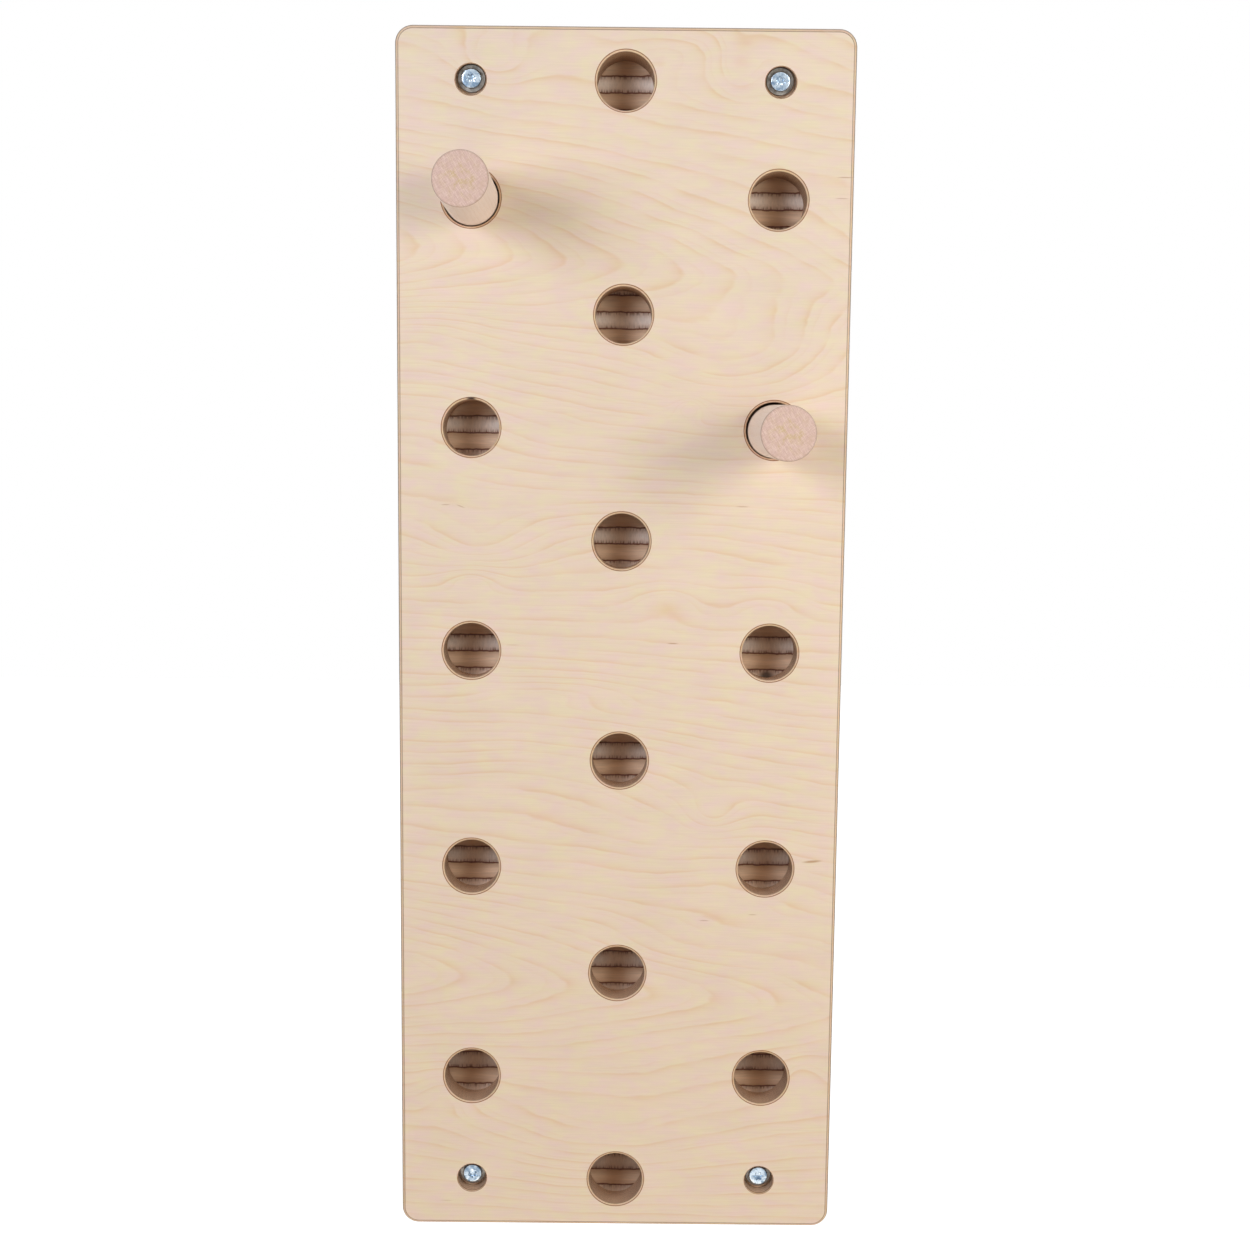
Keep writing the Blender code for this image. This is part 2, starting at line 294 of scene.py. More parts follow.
# Each softbox: name, place, width and height in metres, power in watts, colour
LAMPS = (
    ("left_softbox", (-0.76, -1.12, 0.56), 0.50, 0.50, 8.8, "F0F4FF"),
    ("right_softbox", (0.80, -1.16, 0.50), 0.50, 0.50, 5.7, "FFFAF0"),
    ("right_panel", (0.55, -0.45, 0.10), 0.30, 0.90, 1.1, "FFFFFF"),
    ("low_panel", (0, -0.90, -1.20), 2.00, 0.60, 6.6, "FFE0BC"),
    ("top_panel", (0, 0.30, 1.70), 2.00, 1.00, 8.0, "FFFFFF"),
    ("back_fill", (0.45, 1.60, 0.25), 1.00, 1.00, 16.0, "FFFFFF"),
)

# The white floor and the world: half width, level, tone, and the world's strength as a lamp
FLOOR_HALF = 6.0
FLOOR_LEVEL = -1.3
STUDIO_FLOOR_TONE = "F0F0EE"
WORLD_FILL = 0.18


def linear(hex_colour):
    """An sRGB hex colour, such as "E6D1B8", as a linear RGBA tuple."""
    channels = []
    for start in (0, 2, 4):
        value = int(hex_colour[start:start + 2], 16) / 255
        channels.append(value / 12.92 if value <= 0.04045 else ((value + 0.055) / 1.055) ** 2.4)
    return (*channels, 1.0)


def feed(node, inputs):
    """Sets or links a node's inputs. inputs maps a socket's name or number to a value, to a hex colour, or
    to what feeds it: a socket, a node (by its first output in use) or a list of nodes."""
    for key, value in inputs.items():
        for source in value if isinstance(value, list) else [value]:
            if isinstance(source, bpy.types.Node):
                source = next(output for output in source.outputs if output.enabled)
            if isinstance(source, bpy.types.NodeSocket):
                node.id_data.links.new(source, node.inputs[key])
            else:
                node.inputs[key].default_value = linear(source) if isinstance(source, str) else source


def add(tree, kind, inputs=None, **settings):
    """Adds a node with its settings and links."""
    node = tree.nodes.new(kind)
    for name, value in settings.items():
        setattr(node, name, value)
    feed(node, inputs or {})
    return node


# Shapes

def turned(name, profile, steps, closed=False, lobes=0):
    """A mesh turned about Z from (radius, height) points that run from the top down the outside. A third
    number in a point is a wave: that ring then stands in and out by so much, lobes times round."""
    bm = bmesh.new()
    turns = [math.tau * i / steps for i in range(steps)]
    rings = []
    for radius, height, *wave in profile:
        if radius == 0:
            rings.append([bm.verts.new((0, 0, height))] * steps)
            continue
        swing = wave[0] if wave else 0
        reach = [radius + swing * math.cos(lobes * t) for t in turns]
        places = [(r * math.cos(t), r * math.sin(t), height) for r, t in zip(reach, turns)]
        rings.append([bm.verts.new(place) for place in places])
    if closed:
        rings.append(rings[0])
    for upper, lower in zip(rings, rings[1:]):
        for i in range(steps):
            j = (i + 1) % steps
            corners = list(dict.fromkeys((upper[i], lower[i], lower[j], upper[j])))
            bm.faces.new(corners)
    mesh = bpy.data.meshes.new(name)
    bm.to_mesh(mesh)
    bm.free()
    return mesh


def new_object(name, data):
    """Puts a mesh, a camera or a lamp into the scene at the origin."""
    obj = bpy.data.objects.new(name, data)
    bpy.context.scene.collection.objects.link(obj)
    return obj


def arc(centre_radius, centre_height, radius, start, end, steps):
    """Points of a rounding, as (radius, height) pairs. Angles count from the outward direction up."""
    points = []
    for step in range(steps + 1):
        turn = math.radians(start + (end - start) * step / steps)
        points.append((centre_radius + radius * math.cos(turn), centre_height + radius * math.sin(turn)))
    return points


def grown(name, mesh, tree, values):
    """A plain mesh object that a Geometry Nodes tree makes from a mesh and the named values."""
    source = new_object(name + "_source", mesh)
    modifier = source.modifiers.new("grown", "NODES")
    modifier.node_group = tree
    for item in tree.interface.items_tree:
        if item.in_out == "INPUT" and item.name in values:
            modifier[item.identifier] = values[item.name]
    depsgraph = bpy.context.evaluated_depsgraph_get()
    result = bpy.data.meshes.new_from_object(source.evaluated_get(depsgraph))
    bpy.data.objects.remove(source, do_unlink=True)
    result.name = name
    return new_object(name, result)


def new_tree(name, sizes):
    """A Geometry Nodes tree with a geometry input and output and one named input for each size."""
    tree = bpy.data.node_groups.new(name, "GeometryNodeTree")
    tree.interface.new_socket("Geometry", in_out="INPUT", socket_type="NodeSocketGeometry")
    for label, kind in sizes.items():
        tree.interface.new_socket(label, in_out="INPUT", socket_type="NodeSocket" + kind)
    tree.interface.new_socket("Geometry", in_out="OUTPUT", socket_type="NodeSocketGeometry")
    return tree


def peg_hole_cutter():
    """A slanting hole with a rounded mouth. It is turned straight, then sheared along its slant, and
    its far end is set square to the slanting axis, as the drill leaves it."""
    rim = HOLE_RADIUS + MOUTH_ROUND
    profile = [(0, OVERCUT), (rim, OVERCUT)]
    profile += arc(rim, -MOUTH_ROUND, MOUTH_ROUND, 90, 180, ROUND_STEPS)
    profile += [(HOLE_RADIUS, -HOLE_REACH), (0, -HOLE_REACH)]
    mesh = turned("peg_hole_cutter", profile, HOLE_STEPS)
    for vertex in mesh.vertices:
        x, y, z = vertex.co
        place = Vector((x, -z, y / math.cos(HOLE_ANGLE) + z * math.tan(HOLE_ANGLE)))
        if z < -HOLE_REACH + OVERCUT / 2:
            place -= HOLE_AXIS * y * math.tan(HOLE_ANGLE)
        vertex.co = place
    return new_object("peg_hole_cutter", mesh)


def screw_hole_cutter():
    """A counterbore with an eased rim, and the screw's hole through the rest of the panel."""
    rim = COUNTERBORE_RADIUS + COUNTERBORE_EDGE
    profile = [(0, OVERCUT), (rim, OVERCUT)]
    profile += arc(rim, -COUNTERBORE_EDGE, COUNTERBORE_EDGE, 90, 180, COUNTERBORE_EDGE_STEPS)
    profile += [
        (COUNTERBORE_RADIUS, -COUNTERBORE_DEPTH),
        (SCREW_HOLE_RADIUS, -COUNTERBORE_DEPTH),
        (SCREW_HOLE_RADIUS, -THICKNESS - OVERCUT),
        (0, -THICKNESS - OVERCUT),
    ]
    mesh = turned("screw_hole_cutter", profile, SCREW_HOLE_STEPS)
    mesh.transform(Matrix.Rotation(math.radians(90), 4, "X"))
    return new_object("screw_hole_cutter", mesh)


def panel_blank():
    """The panel before drilling, with rounded corners and edges."""
    bm = bmesh.new()
    size = Matrix.Diagonal((WIDTH, THICKNESS, HEIGHT, 1))
    bmesh.ops.create_cube(bm, size=1, matrix=Matrix.Translation((0, -THICKNESS / 2, 0)) @ size)
    corners = [e for e in bm.edges if abs(e.verts[0].co.y - e.verts[1].co.y) > THICKNESS / 2]
    bmesh.ops.bevel(bm, geom=corners, offset=CORNER_RADIUS, offset_type="OFFSET",
                    segments=CORNER_STEPS, profile=0.5, affect="EDGES")
    outline = [e for e in bm.edges if abs(e.verts[0].co.y - e.verts[1].co.y) < EDGE_ROUND / 2]
    bmesh.ops.bevel(bm, geom=outline, offset=EDGE_ROUND, offset_type="OFFSET",
                    segments=ROUND_STEPS, profile=0.5, affect="EDGES")
    mesh = bpy.data.meshes.new("panel_blank")
    bm.to_mesh(mesh)
    bm.free()
    return mesh


def drilling_tree():
    """Drills the peg holes in their three columns and the screw holes at the side columns' ends."""
    tree = new_tree("drilled_panel", {
        "Peg hole": "Object", "Screw hole": "Object", "Front": "Float", "Top row": "Float",
        "Row pitch": "Float", "Column pitch": "Float", "Centre rows": "Int", "Side rows": "Int",
        "Bored": "Material",
    })
    given = add(tree, "NodeGroupInput").outputs
    down = add(tree, MATH, {0: given["Row pitch"], 1: -1.0}, operation="MULTIPLY")
    step = add(tree, JOIN, {2: down})
    half_down = add(tree, MATH, {0: down, 1: 0.5, 2: given["Top row"]}, operation="MULTIPLY_ADD")
    bottom_row = add(tree, MATH, {0: given["Top row"], 1: -1.0}, operation="MULTIPLY")
    height = add(tree, MATH, {0: given["Top row"], 1: 2.0}, operation="MULTIPLY")
    rise = add(tree, JOIN, {2: height})

    centre_start = add(tree, JOIN, {1: given["Front"], 2: given["Top row"]})
    peg_columns = [add(tree, "GeometryNodeMeshLine", {
        "Count": given["Centre rows"], "Start Location": centre_start, "Offset": step})]
    screw_rows = []
    for side in (-1.0, 1.0):
        across = add(tree, MATH, {0: given["Column pitch"], 1: side}, operation="MULTIPLY")
        start = add(tree, JOIN, {0: across, 1: given["Front"], 2: half_down})
        peg_columns.append(add(tree, "GeometryNodeMeshLine", {
            "Count": given["Side rows"], "Start Location": start, "Offset": step}))
        corner = add(tree, JOIN, {0: across, 1: given["Front"], 2: bottom_row})
        screw_rows.append(add(tree, "GeometryNodeMeshLine", {
            "Count": 2, "Start Location": corner, "Offset": rise}))

    cutters = []
    for lines, cutter in ((peg_columns, "Peg hole"), (screw_rows, "Screw hole")):
        points = add(tree, "GeometryNodeJoinGeometry", {0: lines})
        shape = add(tree, "GeometryNodeObjectInfo", {"Object": given[cutter]}, transform_space="ORIGINAL")
        placed = add(tree, "GeometryNodeInstanceOnPoints", {
            "Points": points, "Instance": shape.outputs["Geometry"]})
        cutters.append(add(tree, "GeometryNodeRealizeInstances", {0: placed}))
    drilled = add(tree, "GeometryNodeMeshBoolean", {"Mesh 1": given["Geometry"], "Mesh 2": cutters},
                  operation="DIFFERENCE", solver="EXACT")
    realized = add(tree, "GeometryNodeRealizeInstances", {0: drilled.outputs["Mesh"]})
    finished = add(tree, "GeometryNodeSetMaterial", {"Geometry": realized, "Material": given["Bored"]})
    add(tree, "NodeGroupOutput", {0: finished})
    return tree


def make_board(veneer, sawn, bored):
    """The drilled panel: veneer on its flat faces, sawn edges all round, and bored wood in its holes."""
    peg_hole = peg_hole_cutter()
    screw_hole = screw_hole_cutter()
    board = grown("drilled_plywood_board", panel_blank(), drilling_tree(), {
        "Peg hole": peg_hole, "Screw hole": screw_hole, "Front": FRONT, "Top row": TOP_ROW,
        "Row pitch": ROW_PITCH, "Column pitch": COLUMN_PITCH,
        "Centre rows": CENTRE_ROWS, "Side rows": SIDE_ROWS, "Bored": bored,
    })
    for cutter in (peg_hole, screw_hole):
        bpy.data.objects.remove(cutter, do_unlink=True)
    mesh = board.data
    mesh.materials.clear()
    for mat in (veneer, sawn, bored):
        mesh.materials.append(mat)
    tiny = 0.01 * MM
    for face in mesh.polygons:
        x, y, z = face.center
        if min(abs(y - FRONT), abs(y)) < tiny:
            face.material_index = 0
        elif abs(x) > WIDTH / 2 - CORNER_RADIUS or abs(z) > HEIGHT / 2 - CORNER_RADIUS:
            face.material_index = 1
        else:
            face.material_index = 2
    settle(board, "board", "board_on_wall")


def finish_shape(obj):
    """Smooth shading with sharp creases, and flat faces that stay flat beside their roundings."""
    mesh = obj.data
    mesh.shade_smooth()
    mesh.set_sharp_from_angle(angle=SMOOTH_ANGLE)
    weighted = obj.modifiers.new("flat_faces", "WEIGHTED_NORMAL")
    weighted.keep_sharp = True
    depsgraph = bpy.context.evaluated_depsgraph_get()
    result = bpy.data.meshes.new_from_object(obj.evaluated_get(depsgraph))
    obj.modifiers.clear()
    obj.data = result
    bpy.data.meshes.remove(mesh)
    result.name = obj.name


def settle(obj, node, body):
    """A finished piece takes the place of its CAD node and moves with its body."""
    finish_shape(obj)
    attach(obj, body)
    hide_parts(node)


def mark_own_place(mesh):
    """Keeps each point's place on the piece before it is put on the board, in millimetres."""
    own = mesh.attributes.new("own_place", "FLOAT_VECTOR", "POINT")
    for point, vertex in zip(own.data, mesh.vertices):
        point.vector = vertex.co / MM


def make_peg(side, beech):
    """A dowel with eased ends that stands in its hole along its sliding axis."""
    node = "peg_" + side
    body = side + "_peg"
    flat = PEG_RADIUS - PEG_EDGE
    profile = [(0, PEG_LENGTH)]
    profile += arc(flat, PEG_LENGTH - PEG_EDGE, PEG_EDGE, 90, 0, ROUND_STEPS)
    profile += arc(flat, PEG_EDGE, PEG_EDGE, 0, -90, ROUND_STEPS)
    profile.append((0, 0))
    mesh = turned("beech_dowel_" + side, profile, PEG_STEPS)
    mark_own_place(mesh)
    mesh.materials.append(beech)
    low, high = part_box(node)
    joint = next(j for j in frame["joints"] if j["child"] == body)
    axis = Vector(joint["axis"])
    middle = (low + high) / 2
    place = Matrix.Translation(middle - axis * (PEG_LENGTH / 2))
    mesh.transform(place @ axis.to_track_quat("Z", "Y").to_matrix().to_4x4())
    settle(new_object(mesh.name, mesh), node, body)


def thread_tree():
    """Winds a screw's thread round its core, drawn in towards the point and run out at the shank."""
    tree = new_tree("wood_screw_thread", {
        "Core radius": "Float", "Ridge height": "Float", "Pitch": "Float", "Thread length": "Float",
        "Start height": "Float", "Point length": "Float", "Zinc": "Material",
    })
    given = add(tree, "NodeGroupInput").outputs
    turns = add(tree, MATH, {0: given["Thread length"], 1: given["Pitch"]}, operation="DIVIDE")
    helix = add(tree, "GeometryNodeCurveSpiral", {
        "Resolution": THREAD_STEPS, "Rotations": turns, "Start Radius": given["Core radius"],
        "End Radius": given["Core radius"], "Height": given["Thread length"]})
    x, y, z = add(tree, SPLIT, {0: add(tree, "GeometryNodeInputPosition")}).outputs
    taper = add(tree, MAP_RANGE, {"Value": z, "From Max": given["Point length"], "To Min": POINT_BLUNTNESS})
    left = add(tree, MATH, {0: given["Thread length"], 1: z}, operation="SUBTRACT")
    run_out = add(tree, MAP_RANGE, {"Value": left, "From Max": given["Pitch"]})
    share = add(tree, MATH, {0: taper, 1: run_out}, operation="MULTIPLY")
    height = add(tree, MATH, {0: share, 1: given["Ridge height"]}, operation="MULTIPLY")
    kept = add(tree, "GeometryNodeCaptureAttribute", {"Geometry": helix})
    kept.capture_items.new("FLOAT", "Ridge")
    feed(kept, {1: height})
    drawn_x = add(tree, MATH, {0: x, 1: taper}, operation="MULTIPLY")
    drawn_y = add(tree, MATH, {0: y, 1: taper}, operation="MULTIPLY")
    lowered = add(tree, MATH, {0: z, 1: given["Start height"]}, operation="ADD")
    wound = add(tree, "GeometryNodeSetPosition", {
        "Geometry": kept.outputs[0], "Position": add(tree, JOIN, {0: drawn_x, 1: drawn_y, 2: lowered})})
    upright = add(tree, "GeometryNodeSetCurveNormal", {"Curve": wound}, mode="Z_UP")
    ridge = add(tree, "GeometryNodeCurvePrimitiveCircle", {"Resolution": 3, "Radius": 1.0})
    narrow = add(tree, "GeometryNodeTransform", {"Geometry": ridge, "Scale": (1.0, RIDGE_NARROWING, 1.0)})
    thread = add(tree, "GeometryNodeCurveToMesh", {
        "Curve": upright, "Profile Curve": narrow, "Scale": kept.outputs[1], "Fill Caps": True})
    both = add(tree, "GeometryNodeJoinGeometry", {0: [given["Geometry"], thread]})
    realized = add(tree, "GeometryNodeRealizeInstances", {0: both})
    finished = add(tree, "GeometryNodeSetMaterial", {"Geometry": realized, "Material": given["Zinc"]})
    add(tree, "NodeGroupOutput", {0: finished})
    return tree


def pan_height(radius):
    """How high the pan head stands at that radius: nearly flat on top, with full shoulders."""
    return HEAD_RIM + (HEAD_HEIGHT - HEAD_RIM) * (1 - (radius / HEAD_RADIUS) ** PAN_FULLNESS) ** (1 / 2)


def screw_body():
    """The pan head with its lobed recess, the plain shank, and the core down to the point."""
    floor = HEAD_HEIGHT - RECESS_DEPTH
    brink = pan_height(RECESS_RADIUS)
    profile = [(0, floor - RECESS_CONE), (RECESS_RADIUS * RECESS_TAPER, floor, RECESS_WAVE * RECESS_FADE)]
    for share, drop in RECESS_LIP:
        profile.append((RECESS_RADIUS * share, brink - drop, RECESS_WAVE))
    for share in HEAD_RINGS:
        profile.append((HEAD_RADIUS * share, pan_height(HEAD_RADIUS * share)))
    profile += arc(HEAD_RADIUS - HEAD_EDGE, HEAD_EDGE, HEAD_EDGE, 0, -90, HEAD_EDGE_STEPS)
    profile += [
        (SHANK_RADIUS, 0),
        (SHANK_RADIUS, THREAD_LENGTH - SCREW_LENGTH),
        (CORE_RADIUS, THREAD_LENGTH - SCREW_LENGTH - THREAD_PITCH),
        (CORE_RADIUS, POINT_LENGTH - SCREW_LENGTH),
        (0, -SCREW_LENGTH),
    ]
    return turned("screw_body", profile, SCREW_STEPS, lobes=RECESS_LOBES)


def facing_out(node, height):
    """Turns a piece made along Z to face the climber, in its CAD node's place."""
    low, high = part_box(node)
    middle = (low + high) / 2
    place = Matrix.Translation((middle.x, low.y + height, middle.z))
    return place @ Matrix.Rotation(math.radians(90), 4, "X")


def make_screw(corner, thread, zinc):
    """A pan-head wood screw with its thread, turned as it was driven in."""
    screw = grown("pan_head_screw_" + corner, screw_body(), thread, {
        "Core radius": CORE_RADIUS, "Ridge height": RIDGE_HEIGHT, "Pitch": THREAD_PITCH,
        "Thread length": THREAD_LENGTH, "Start height": THREAD_START - SCREW_LENGTH,
        "Point length": POINT_LENGTH, "Zinc": zinc,
    })
    turn = Matrix.Rotation(math.radians(SCREW_TURNS[corner]), 4, "Z")
    screw.data.transform(facing_out("screw_" + corner, HEAD_HEIGHT) @ turn)
    settle(screw, "screw_" + corner, "board_on_wall")


def make_washer(corner, zinc):
    """A stamped washer: its upper edge is rounded by the die, and its lower one is sharp."""
    upper = WASHER_THICKNESS - WASHER_ROUND
    profile = arc(WASHER_RADIUS - WASHER_ROUND, upper, WASHER_ROUND, 90, 0, WASHER_ROUND_STEPS)
    profile += arc(WASHER_RADIUS - WASHER_EDGE, WASHER_EDGE, WASHER_EDGE, 0, -90, WASHER_EDGE_STEPS)
    profile += arc(WASHER_BORE + WASHER_EDGE, WASHER_EDGE, WASHER_EDGE, 270, 180, WASHER_EDGE_STEPS)
    profile += arc(WASHER_BORE + WASHER_ROUND, upper, WASHER_ROUND, 180, 90, WASHER_ROUND_STEPS)
    mesh = turned("flat_washer_" + corner, profile, WASHER_STEPS, closed=True)
    mesh.materials.append(zinc)
    mesh.transform(facing_out("washer_" + corner, WASHER_THICKNESS))
    settle(new_object(mesh.name, mesh), "washer_" + corner, "board_on_wall")


# Materials

def new_material(name, roughness, metallic=0.0):
    """A named material with its shader, and the roughness and metallic that are the same all over."""
    mat = bpy.data.materials.new(name)
    mat.use_nodes = True
    shader = mat.node_tree.nodes["Principled BSDF"]
    feed(shader, {"Roughness": roughness, "Metallic": metallic})
    return mat, mat.node_tree, shader


def new_pattern(name, outputs):
    """A shader group that reads a place in millimetres and gives the named outputs."""
    tree = bpy.data.node_groups.new(name, "ShaderNodeTree")
    tree.interface.new_socket("Place", in_out="INPUT", socket_type="NodeSocketVector")
    for label, kind in outputs.items():
        tree.interface.new_socket(label, in_out="OUTPUT", socket_type="NodeSocket" + kind)
    return tree, add(tree, "NodeGroupInput").outputs["Place"]


def grain(tree, place, size, detail=2.0):
    """Cloudy pattern from about 0.2 to 0.8, whose spots have that size in millimetres along x, y and z. None
    stands for endlessly long."""
    scale = tuple(0.0 if length is None else 1 / length for length in size)
    scaled = add(tree, MAPPING, {"Vector": place, "Scale": scale})
    return add(tree, NOISE, {"Vector": scaled, "Scale": 1.0, "Detail": detail, "Roughness": 0.55})


def spot(tree, place, middle, half_size, turn=0.0):
    """1 inside a soft-edged ellipsoid, given in millimetres and turned about y, and 0 outside it."""
    inside = add(tree, MAPPING, {
        "Vector": place, "Location": middle, "Rotation": (0, math.radians(turn), 0), "Scale": half_size},
        vector_type="TEXTURE")
    away = add(tree, VECTOR_MATH, {0: inside}, operation="LENGTH")
    return add(tree, MAP_RANGE, {"Value": away, "From Min": SPOT_CORE, **FALLING}, **SMOOTH)


def shaded(tree, colour, *patterns):
    """The colour with patterns of light and dark on it, each given with its strength. The mean stays."""
    shade = 1 - sum(strength for _, strength in patterns) / 2
    for pattern, strength in patterns:
        shade = add(tree, MATH, {0: pattern, 1: strength, 2: shade}, operation="MULTIPLY_ADD")
    return add(tree, VECTOR_MATH, {0: colour, "Scale": shade}, operation="SCALE")


def millimetres(tree):
    """Object coordinates in millimetres."""
    place = add(tree, "ShaderNodeTexCoord").outputs["Object"]
    return add(tree, VECTOR_MATH, {0: place, "Scale": 1 / MM}, operation="SCALE")


def face_grain():
    """The face veneer's growth rings. The peeled veneer shows them as contour lines: two long loops that
    open to the left, nearly level lines further off, and swells where the log was uneven."""
    tree, place = new_pattern("birch_face_grain", {"Colour": "Color", "Height": "Float"})
    x, y, z = add(tree, SPLIT, {0: place}).outputs
    # The back veneer is the same pattern laid upside down
    back = add(tree, MATH, {0: y, 1: -THICKNESS / MM / 2}, operation="GREATER_THAN")
    way_up = add(tree, MATH, {0: back, 1: -2.0, 2: 1.0}, operation="MULTIPLY_ADD")
    z = add(tree, MATH, {0: z, 1: way_up}, operation="MULTIPLY")
    flat = add(tree, JOIN, {0: x, 2: z})

    level = add(tree, MATH, {0: x, 1: GRAIN_TILT, 2: z}, operation="MULTIPLY_ADD")
    families = []
    for middle, start, way, near_lean, far_lean in LOOPS:
        away = add(tree, MATH, {0: level, 1: middle}, operation="SUBTRACT")
        corner = add(tree, JOIN, {0: away, 1: LOOP_ROUND})
        rounded = add(tree, VECTOR_MATH, {0: corner}, operation="LENGTH")
        lean = add(tree, MAP_RANGE, {
            "Value": rounded, "From Min": LOOP_ROUND, "From Max": LEAN_REACH,
            "To Min": near_lean, "To Max": far_lean}, **SMOOTH)
        leaning = add(tree, MATH, {0: x, 1: lean, 2: start}, operation="MULTIPLY_ADD")
        families.append(add(tree, MATH, {
            0: rounded, 1: way / RING_SPACING, 2: leaning}, operation="MULTIPLY_ADD"))
    upper_share = add(tree, MAP_RANGE, {"Value": z, "From Min": LOOP_BLEND[0], "From Max": LOOP_BLEND[1]},
                      **SMOOTH)
    rings = add(tree, MIX, {0: upper_share, 2: families[1], 3: families[0]})
    for across, up, half_width, half_height, count in SWELLS:
        inside = add(tree, MAPPING, {
            "Vector": flat, "Location": (across, 0, up), "Scale": (half_width, 1, half_height)},
            vector_type="TEXTURE")
        squared = add(tree, VECTOR_MATH, {0: inside, 1: inside}, operation="DOT_PRODUCT")
        fall = add(tree, MATH, {0: squared, 1: -1.0}, operation="MULTIPLY")
        bell = add(tree, MATH, {0: fall}, operation="EXPONENT")
        rings = add(tree, MATH, {0: bell, 1: count, 2: rings}, operation="MULTIPLY_ADD")
    for size, moved in RING_WANDER:
        wander = grain(tree, flat, size, 1.0)
        rings = add(tree, MATH, {0: wander, 1: moved, 2: rings}, operation="MULTIPLY_ADD")

    # A ring darkens slowly towards its late wood and then ends sharply
    lines = 0.0
    for count, shift, weight in LINE_SETS:
        counted = add(tree, MATH, {0: rings, 1: count, 2: shift}, operation="MULTIPLY_ADD")
        phase = add(tree, MATH, {0: counted}, operation="FRACT")
        late_wood = add(tree, MATH, {0: phase, 1: LATE_WOOD}, operation="POWER")
        fall = add(tree, MAP_RANGE, {
            "Value": phase, "From Min": LINE_END, "To Min": weight, "To Max": 0.0}, **SMOOTH)
        weighed = add(tree, MATH, {0: late_wood, 1: fall}, operation="MULTIPLY")
        lines = add(tree, MATH, {0: weighed, 1: lines}, operation="MAXIMUM")
    patches = grain(tree, flat, LINE_PATCH, 1.0)
    strength = add(tree, MAP_RANGE, {"Value": patches, "From Min": 0.36, "From Max": 0.62, "To Min": 0.15})
    lines = add(tree, MATH, {0: lines, 1: strength}, operation="MULTIPLY")

    tints = grain(tree, flat, TINT_PATCH)
    tint = add(tree, MAP_RANGE, {"Value": tints, "From Min": 0.32, "From Max": 0.68})
    wood = add(tree, MIX, {0: tint, 6: VENEER_YELLOW, 7: VENEER_PINK}, data_type="RGBA")
    lined = add(tree, MIX, {0: lines, 6: wood, 7: VENEER_LINE}, data_type="RGBA")
    # The real fibres are finer than the render's pixels, so they are drawn 0.9 mm wide
    fibres = grain(tree, flat, FACE_FIBRE, 3.0)
    clouds = grain(tree, flat, FACE_CLOUD, 1.0)
    fibred = shaded(tree, lined, (clouds, FACE_CLOUD_SHADE), (fibres, FACE_FIBRE_SHADE))
    dark = 0.0
    for across, up, length, width, turn, strength in FLECKS:
        fleck = spot(tree, flat, (across, 0, up), (length / 2, 1, width / 2), turn)
        weighed = add(tree, MATH, {0: fleck, 1: strength}, operation="MULTIPLY")
        dark = add(tree, MATH, {0: weighed, 1: dark}, operation="MAXIMUM")
    flecked = add(tree, MIX, {0: dark, 6: fibred, 7: VENEER_FLECK}, data_type="RGBA")
    add(tree, "NodeGroupOutput", {"Colour": flecked, "Height": fibres})
    return tree


